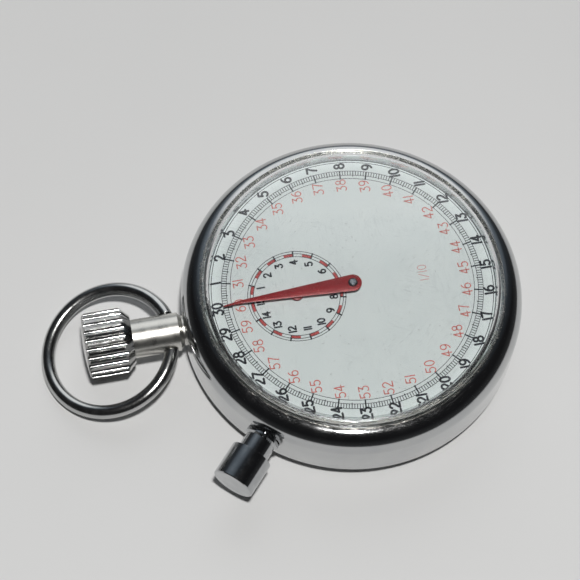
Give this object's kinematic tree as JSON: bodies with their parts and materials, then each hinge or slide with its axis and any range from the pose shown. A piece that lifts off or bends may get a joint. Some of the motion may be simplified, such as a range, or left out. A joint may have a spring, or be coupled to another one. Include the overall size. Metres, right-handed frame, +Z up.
{
  "type": "mechanical stopwatch",
  "caption": "Hand-wound mechanical stopwatch: round chromed case, domed crystal, white dial with sweep hand, fluted start crown, side reset button and hinged bow.",
  "frame": {"origin": "centre of the flat back face", "axes": "+Z up out of the dial, +Y out through the pendant and crown, +X to the right of the dial"},
  "size_m": [0.0538, 0.0743, 0.016],
  "materials": {
    "case_chrome": "polished chrome plate with light handling wear",
    "bright_ring": "bright turned",
    "crystal": "clear acrylic, fine scratches",
    "dial_enamel": "satin white lacquer, printed",
    "hand_red": "gloss red lacquer",
    "steel": "polished and straight-grained",
    "brass": "gilt",
    "nickel": "nickel plated, frosted",
    "jewel": "synthetic ruby"
  },
  "bodies": {
    "case": {"case_body": "case_chrome", "back_cover": "case_chrome", "crystal": "crystal", "tension_ring": "bright_ring", "dial": "dial_enamel", "pendant_tube": "case_chrome", "button_tube": "case_chrome", "main_plate": "nickel", "plate_pillars": "brass", "barrel_bridge": "nickel", "train_bridge": "nickel", "balance_cock": "nickel", "pallet_cock": "nickel", "movement_ring": "brass", "bridge_screws": "steel", "case_clamps": "steel", "crown_wheel_core": "steel", "click_spring": "steel", "column_jumper": "steel", "hammer_spring": "steel", "hairspring": "steel", "balance_jewels": "jewel", "crown_spring": "steel", "button_spring": "steel"},
    "bow": {"bow": "case_chrome"},
    "start_plunger": {"start_sleeve": "brass"},
    "crown": {"crown": "case_chrome", "winding_stem": "steel"},
    "winding_pinion": {"winding_pinion": "steel"},
    "crown_wheel": {"crown_wheel": "steel"},
    "ratchet": {"ratchet_wheel": "steel", "barrel_arbor": "steel"},
    "barrel": {"barrel_drum": "brass", "barrel_cover": "brass", "mainspring": "steel"},
    "minute_group": {"minute_wheel": "brass", "minute_arbor": "steel", "minute_heart": "steel", "minute_hand": "hand_red"},
    "third_group": {"third_wheel": "brass", "third_arbor": "steel"},
    "sweep_group": {"sweep_wheel": "brass", "sweep_arbor": "steel", "sweep_heart": "steel", "sweep_hand": "hand_red"},
    "escape_group": {"escape_wheel": "steel", "escape_arbor": "steel"},
    "pallet": {"pallet_lever": "steel"},
    "balance": {"balance_wheel": "brass", "balance_staff": "steel", "roller": "steel"},
    "regulator": {"regulator": "steel"},
    "click": {"click": "steel"},
    "operating_lever": {"operating_lever": "steel"},
    "column_wheel": {"column_wheel": "steel"},
    "brake_lever": {"brake_lever": "steel"},
    "reset_hammer": {"reset_hammer": "steel"},
    "button": {"reset_button": "case_chrome", "button_rod": "steel"}
  },
  "joints": [
    {"name": "bow_swing", "type": "hinge", "parent": "case", "child": "bow", "pos_m": [0, 0.0284, 0.0062], "axis": [1, 0, 0], "range_deg": [-85, 115]},
    {"name": "start_press", "type": "slide", "parent": "case", "child": "start_plunger", "axis": [0, -1, 0], "range_m": [0, 0.0012], "stiffness_N_per_m": 1500, "springref_m": -0.0012, "deforming": ["crown_spring"]},
    {"name": "crown_wind", "type": "hinge", "parent": "start_plunger", "child": "crown", "pos_m": [0, 0.037, 0.0062], "axis": [0, 1, 0], "continuous": true},
    {"name": "winding_pinion_turn", "type": "hinge", "parent": "case", "child": "winding_pinion", "pos_m": [0, 0.0159, 0.0062], "axis": [0, 1, 0], "continuous": true},
    {"name": "crown_wheel_turn", "type": "hinge", "parent": "case", "child": "crown_wheel", "pos_m": [0, 0.01288, 0.0036], "axis": [0, 0, 1], "continuous": true},
    {"name": "ratchet_turn", "type": "hinge", "parent": "case", "child": "ratchet", "pos_m": [0.00743, 0.01051, 0.0036], "axis": [0, 0, 1], "continuous": true},
    {"name": "sweep_turn", "type": "hinge", "parent": "case", "child": "sweep_group", "pos_m": [0, 0, 0.0116], "axis": [0, 0, -1], "continuous": true},
    {"name": "minute_turn", "type": "hinge", "parent": "case", "child": "minute_group", "pos_m": [0, 0.00852, 0.0116], "axis": [0, 0, -1], "continuous": true},
    {"name": "third_turn", "type": "hinge", "parent": "case", "child": "third_group", "pos_m": [-0.00529, 0.00394, 0.007], "axis": [0, 0, -1], "continuous": true},
    {"name": "escape_turn", "type": "hinge", "parent": "case", "child": "escape_group", "pos_m": [0.004, -0.00468, 0.007], "axis": [0, 0, -1], "continuous": true},
    {"name": "barrel_turn", "type": "hinge", "parent": "case", "child": "barrel", "pos_m": [0.00743, 0.01051, 0.007], "axis": [0, 0, -1], "continuous": true},
    {"name": "pallet_rock", "type": "hinge", "parent": "case", "child": "pallet", "pos_m": [0.00623, -0.00731, 0.008], "axis": [0, 0, 1], "range_deg": [-6, 6]},
    {"name": "balance_swing", "type": "hinge", "parent": "case", "child": "balance", "pos_m": [0.0086, -0.0101, 0.005], "axis": [0, 0, 1], "range_deg": [-150, 150], "stiffness_Nm_per_rad": 0.0000035},
    {"name": "regulator_turn", "type": "hinge", "parent": "case", "child": "regulator", "pos_m": [0.0086, -0.0101, 0.002], "axis": [0, 0, 1], "range_deg": [-15, 15]},
    {"name": "click_lift", "type": "hinge", "parent": "case", "child": "click", "pos_m": [0.0142, 0.0056, 0.004], "axis": [0, 0, 1], "range_deg": [-10, 0], "stiffness_Nm_per_rad": 0.002},
    {"name": "operating_lever_turn", "type": "hinge", "parent": "case", "child": "operating_lever", "pos_m": [-0.0075, 0.0126, 0.006], "axis": [0, 0, 1], "range_deg": [-8.7, 0]},
    {"name": "column_wheel_turn", "type": "hinge", "parent": "case", "child": "column_wheel", "pos_m": [-0.0145, 0.0045, 0.007], "axis": [0, 0, 1], "continuous": true},
    {"name": "brake_turn", "type": "hinge", "parent": "case", "child": "brake_lever", "pos_m": [-0.012, -0.006, 0.0046], "axis": [0, 0, 1], "range_deg": [-4, 0]},
    {"name": "hammer_turn", "type": "hinge", "parent": "case", "child": "reset_hammer", "pos_m": [-0.008, -0.009, 0.0046], "axis": [0, 0, 1], "range_deg": [-7.4, 0]},
    {"name": "reset_press", "type": "slide", "parent": "case", "child": "button", "axis": [0.7431, -0.6691, 0], "range_m": [0, 0.0015], "stiffness_N_per_m": 1200, "springref_m": -0.0015, "deforming": ["button_spring"]}
  ],
  "couplings": [
    {"joint": "winding_pinion_turn", "follows": "crown_wind", "ratio": 1},
    {"joint": "crown_wheel_turn", "follows": "crown_wind", "ratio": 0.54545},
    {"joint": "ratchet_turn", "follows": "crown_wind", "ratio": -0.4},
    {"joint": "minute_turn", "follows": "sweep_turn", "ratio": 0.033333},
    {"joint": "third_turn", "follows": "sweep_turn", "ratio": -0.2},
    {"joint": "escape_turn", "follows": "sweep_turn", "ratio": -10},
    {"joint": "barrel_turn", "follows": "sweep_turn", "ratio": -0.0041667},
    {"joint": "operating_lever_turn", "follows": "start_press", "rad_per_m": -125},
    {"joint": "hammer_turn", "follows": "reset_press", "rad_per_m": -83.333}
  ]
}
